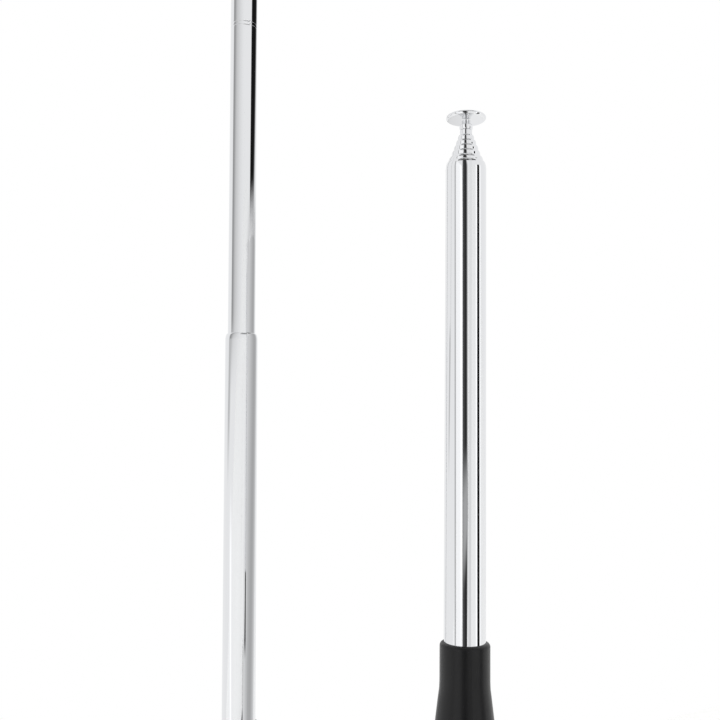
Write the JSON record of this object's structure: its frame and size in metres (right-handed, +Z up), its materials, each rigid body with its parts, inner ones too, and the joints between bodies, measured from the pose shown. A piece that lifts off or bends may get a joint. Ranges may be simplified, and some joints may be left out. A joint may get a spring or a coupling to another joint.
{
  "type": "rabbit ears antenna",
  "caption": "Set-top aerial: weighted oval base, swivel heads with tapered black boots, and chrome telescopic masts that turn, tilt and slide.",
  "frame": {"origin": "centre of the foot pad's underside, on the table", "axes": "+Z up, +X from the left mast's hinge to the right mast's, +Y to the back where the socket is"},
  "size_m": [0.353, 0.094, 0.7633],
  "materials": {
    "chrome_tube": "bright chrome plating, drawn tube",
    "plated_knuckle": "chrome-plated die casting",
    "boot_plastic": "satin black moulded plastic",
    "head_plastic": "satin black moulded plastic",
    "base_plastic": "fine spark-textured black plastic",
    "zinc_steel": "zinc-plated sheet",
    "ballast_iron": "bare casting",
    "foot_rubber": "matt non-slip sheet",
    "spring_brass": "rolled strip",
    "hinge_fastener": "bright nickel-plated",
    "fastener_steel": "zinc-plated",
    "board_laminate": "lacquered laminate",
    "core_ferrite": "sintered ferrite",
    "socket_nickel": "nickel-plated brass",
    "socket_insulator": "white insulator",
    "lead_insulation": "red wire insulation"
  },
  "bodies": {
    "base": {"foot_pad": "foot_rubber", "base_plate": "zinc_steel", "ballast_slab": "ballast_iron", "base_shell": "base_plastic", "base_screws": "fastener_steel", "matching_board": "board_laminate", "board_screws": "fastener_steel", "matching_core": "core_ferrite", "socket_body": "socket_nickel", "socket_insulator": "socket_insulator", "socket_nut": "socket_nickel", "contact_lug_left": "spring_brass", "contact_lug_right": "spring_brass", "lead_wire_left": "lead_insulation", "lead_wire_right": "lead_insulation"},
    "swivel_left": {"swivel_head_left": "head_plastic", "swivel_washer_left": "fastener_steel", "swivel_screw_left": "fastener_steel", "hinge_screw_left": "hinge_fastener", "hinge_nut_left": "hinge_fastener", "hinge_washers_left": "fastener_steel"},
    "mast_left": {"knuckle_left": "plated_knuckle", "boot_left": "boot_plastic", "section_1_left": "chrome_tube"},
    "mast_left_2": {"section_2_left": "chrome_tube", "slide_bush_2_left": "spring_brass"},
    "mast_left_3": {"section_3_left": "chrome_tube", "slide_bush_3_left": "spring_brass"},
    "mast_left_4": {"section_4_left": "chrome_tube", "slide_bush_4_left": "spring_brass"},
    "mast_left_5": {"section_5_left": "chrome_tube", "slide_bush_5_left": "spring_brass"},
    "mast_left_6": {"section_6_left": "chrome_tube", "slide_bush_6_left": "spring_brass"},
    "mast_left_7": {"section_7_left": "chrome_tube", "slide_bush_7_left": "spring_brass", "tip_button_left": "chrome_tube"},
    "swivel_right": {"swivel_head_right": "head_plastic", "swivel_washer_right": "fastener_steel", "swivel_screw_right": "fastener_steel", "hinge_screw_right": "hinge_fastener", "hinge_nut_right": "hinge_fastener", "hinge_washers_right": "fastener_steel"},
    "mast_right": {"knuckle_right": "plated_knuckle", "boot_right": "boot_plastic", "section_1_right": "chrome_tube"},
    "mast_right_2": {"section_2_right": "chrome_tube", "slide_bush_2_right": "spring_brass"},
    "mast_right_3": {"section_3_right": "chrome_tube", "slide_bush_3_right": "spring_brass"},
    "mast_right_4": {"section_4_right": "chrome_tube", "slide_bush_4_right": "spring_brass"},
    "mast_right_5": {"section_5_right": "chrome_tube", "slide_bush_5_right": "spring_brass"},
    "mast_right_6": {"section_6_right": "chrome_tube", "slide_bush_6_right": "spring_brass"},
    "mast_right_7": {"section_7_right": "chrome_tube", "slide_bush_7_right": "spring_brass", "tip_button_right": "chrome_tube"}
  },
  "joints": [
    {"name": "swivel_left_turn", "type": "hinge", "parent": "base", "child": "swivel_left", "pos_m": [-0.035, -0.006, 0.028], "axis": [0, 0, 1], "range_deg": [-90, 90]},
    {"name": "mast_left_tilt", "type": "hinge", "parent": "swivel_left", "child": "mast_left", "pos_m": [-0.035, -0.006, 0.043], "axis": [0, 1, 0], "range_deg": [-108.3, 6.7]},
    {"name": "section_2_left_slide", "type": "slide", "parent": "mast_left", "child": "mast_left_2", "axis": [0.3955, 0, 0.9184], "range_m": [-0.105, 0]},
    {"name": "section_3_left_slide", "type": "slide", "parent": "mast_left_2", "child": "mast_left_3", "axis": [0.3955, 0, 0.9184], "range_m": [-0.105, 0]},
    {"name": "section_4_left_slide", "type": "slide", "parent": "mast_left_3", "child": "mast_left_4", "axis": [0.3955, 0, 0.9184], "range_m": [-0.105, 0]},
    {"name": "section_5_left_slide", "type": "slide", "parent": "mast_left_4", "child": "mast_left_5", "axis": [0.3955, 0, 0.9184], "range_m": [-0.105, 0]},
    {"name": "section_6_left_slide", "type": "slide", "parent": "mast_left_5", "child": "mast_left_6", "axis": [0.3955, 0, 0.9184], "range_m": [-0.105, 0]},
    {"name": "section_7_left_slide", "type": "slide", "parent": "mast_left_6", "child": "mast_left_7", "axis": [0.3955, 0, 0.9184], "range_m": [-0.105, 0]},
    {"name": "swivel_right_turn", "type": "hinge", "parent": "base", "child": "swivel_right", "pos_m": [0.035, 0.006, 0.028], "axis": [0, 0, 1], "range_deg": [-90, 90]},
    {"name": "mast_right_tilt", "type": "hinge", "parent": "swivel_right", "child": "mast_right", "pos_m": [0.035, 0.006, 0.043], "axis": [0, 1, 0], "range_deg": [-55, 60]},
    {"name": "section_2_right_slide", "type": "slide", "parent": "mast_right", "child": "mast_right_2", "axis": [0.4226, 0, 0.9063], "range_m": [0, 0.105]},
    {"name": "section_3_right_slide", "type": "slide", "parent": "mast_right_2", "child": "mast_right_3", "axis": [0.4226, 0, 0.9063], "range_m": [0, 0.105]},
    {"name": "section_4_right_slide", "type": "slide", "parent": "mast_right_3", "child": "mast_right_4", "axis": [0.4226, 0, 0.9063], "range_m": [0, 0.105]},
    {"name": "section_5_right_slide", "type": "slide", "parent": "mast_right_4", "child": "mast_right_5", "axis": [0.4226, 0, 0.9063], "range_m": [0, 0.105]},
    {"name": "section_6_right_slide", "type": "slide", "parent": "mast_right_5", "child": "mast_right_6", "axis": [0.4226, 0, 0.9063], "range_m": [0, 0.105]},
    {"name": "section_7_right_slide", "type": "slide", "parent": "mast_right_6", "child": "mast_right_7", "axis": [0.4226, 0, 0.9063], "range_m": [0, 0.105]}
  ]
}
